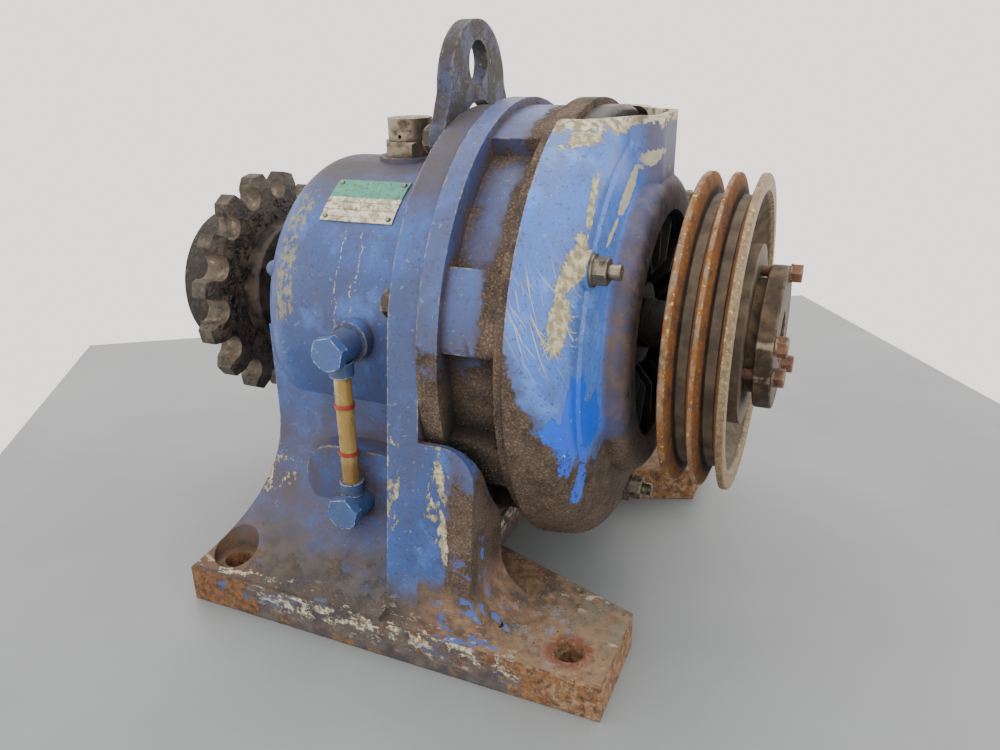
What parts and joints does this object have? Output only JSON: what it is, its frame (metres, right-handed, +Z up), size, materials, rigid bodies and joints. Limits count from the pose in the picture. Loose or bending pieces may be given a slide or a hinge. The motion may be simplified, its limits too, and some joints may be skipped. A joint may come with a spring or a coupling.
{
  "type": "foot-mounted cycloidal speed reducer",
  "caption": "Foot-mounted cycloidal speed reducer with a belt sheave on the fan-cooled input side and a roller-chain sprocket on the output shaft.",
  "frame": {"origin": "centre of the foot bolt pattern, on the base plane the feet stand on", "axes": "+X along the shaft line from the chain sprocket to the belt sheave, +Z up from the base plane, +Y to the side away from the sight gauge"},
  "size_m": [0.5295, 0.404, 0.448],
  "materials": {
    "casing_enamel": "worn blue enamel with cream primer showing on edges",
    "housing_enamel": "dull blue-grey enamel under brown dirt",
    "cover_enamel": "scratched blue enamel",
    "dark_iron": "greasy near-black iron",
    "machined_iron": "turned cast iron",
    "rusted_iron": "orange-brown surface rust",
    "brown_iron": "oiled brown iron",
    "bright_steel": "bare machined steel",
    "black_bolt": "black oxide with light wear",
    "plate_aluminium": "stained bare aluminium",
    "roller_bronze": "bronze",
    "black_rubber": "oily nitrile rubber",
    "gauge_acrylic": "oil-stained clear tube",
    "red_mark": "red marking rings"
  },
  "bodies": {
    "housing": {"foot_casing": "casing_enamel", "casing_gasket": "black_rubber", "ring_gear_housing": "housing_enamel", "shield_gasket": "black_rubber", "end_shield": "machined_iron", "ring_pins": "bright_steel", "ring_rollers": "roller_bronze", "tie_bolts": "black_bolt", "tie_nuts": "black_bolt", "output_seal": "black_rubber", "input_seal": "black_rubber", "output_outer_race_front": "bright_steel", "output_outer_race_rear": "bright_steel", "input_outer_race": "bright_steel", "lifting_lug": "dark_iron", "breather_plug": "bright_steel", "breather_cap": "bright_steel", "gauge_top_fitting": "casing_enamel", "gauge_low_fitting": "casing_enamel", "gauge_tube": "gauge_acrylic", "gauge_marks": "red_mark", "gauge_ferrules": "casing_enamel", "nameplate": "plate_aluminium", "nameplate_rivets": "bright_steel", "fan_cover": "cover_enamel", "cover_studs": "bright_steel", "cover_nuts": "bright_steel", "jack_screws": "black_bolt", "drain_plug": "black_bolt"},
    "output": {"output_shaft": "machined_iron", "output_pins": "bright_steel", "output_rollers": "roller_bronze", "output_inner_race_front": "bright_steel", "output_inner_race_rear": "bright_steel", "pilot_sleeve": "roller_bronze", "output_key": "bright_steel", "sprocket": "dark_iron", "sprocket_screw": "bright_steel", "shaft_collar": "dark_iron"},
    "input": {"input_shaft": "bright_steel", "eccentric": "bright_steel", "input_inner_race": "bright_steel", "fan": "dark_iron", "sheave": "rusted_iron", "bushing": "brown_iron", "bushing_screws": "brown_iron", "input_key": "bright_steel"},
    "disc_a": {"cycloid_disc_a": "bright_steel"},
    "disc_b": {"cycloid_disc_b": "bright_steel"},
    "roller_cage_a": {"eccentric_rollers_a": "bright_steel"},
    "roller_cage_b": {"eccentric_rollers_b": "bright_steel"},
    "front_cage": {"front_ball_set": "bright_steel"},
    "rear_cage": {"rear_ball_set": "bright_steel"},
    "input_cage": {"input_ball_set": "bright_steel"}
  },
  "joints": [
    {"name": "input_spin", "type": "hinge", "parent": "housing", "child": "input", "pos_m": [0, 0, 0.22], "axis": [1, 0, 0], "continuous": true},
    {"name": "output_spin", "type": "hinge", "parent": "housing", "child": "output", "pos_m": [0, 0, 0.22], "axis": [1, 0, 0], "continuous": true},
    {"name": "disc_a_spin", "type": "hinge", "parent": "input", "child": "disc_a", "pos_m": [0, 0, 0.226], "axis": [1, 0, 0], "continuous": true},
    {"name": "disc_b_spin", "type": "hinge", "parent": "input", "child": "disc_b", "pos_m": [0, 0, 0.214], "axis": [1, 0, 0], "continuous": true},
    {"name": "roller_cage_a_spin", "type": "hinge", "parent": "input", "child": "roller_cage_a", "pos_m": [0, 0, 0.226], "axis": [1, 0, 0], "continuous": true},
    {"name": "roller_cage_b_spin", "type": "hinge", "parent": "input", "child": "roller_cage_b", "pos_m": [0, 0, 0.214], "axis": [1, 0, 0], "continuous": true},
    {"name": "front_cage_spin", "type": "hinge", "parent": "housing", "child": "front_cage", "pos_m": [0, 0, 0.22], "axis": [1, 0, 0], "continuous": true},
    {"name": "rear_cage_spin", "type": "hinge", "parent": "housing", "child": "rear_cage", "pos_m": [0, 0, 0.22], "axis": [1, 0, 0], "continuous": true},
    {"name": "input_cage_spin", "type": "hinge", "parent": "housing", "child": "input_cage", "pos_m": [0, 0, 0.22], "axis": [1, 0, 0], "continuous": true}
  ],
  "couplings": [
    {"joint": "output_spin", "follows": "input_spin", "ratio": -0.090909},
    {"joint": "disc_a_spin", "follows": "input_spin", "ratio": -1.0909},
    {"joint": "disc_b_spin", "follows": "input_spin", "ratio": -1.0909},
    {"joint": "roller_cage_a_spin", "follows": "input_spin", "ratio": -0.64865},
    {"joint": "roller_cage_b_spin", "follows": "input_spin", "ratio": -0.64865},
    {"joint": "front_cage_spin", "follows": "input_spin", "ratio": -0.036364},
    {"joint": "rear_cage_spin", "follows": "input_spin", "ratio": -0.036364},
    {"joint": "input_cage_spin", "follows": "input_spin", "ratio": 0.38276}
  ]
}
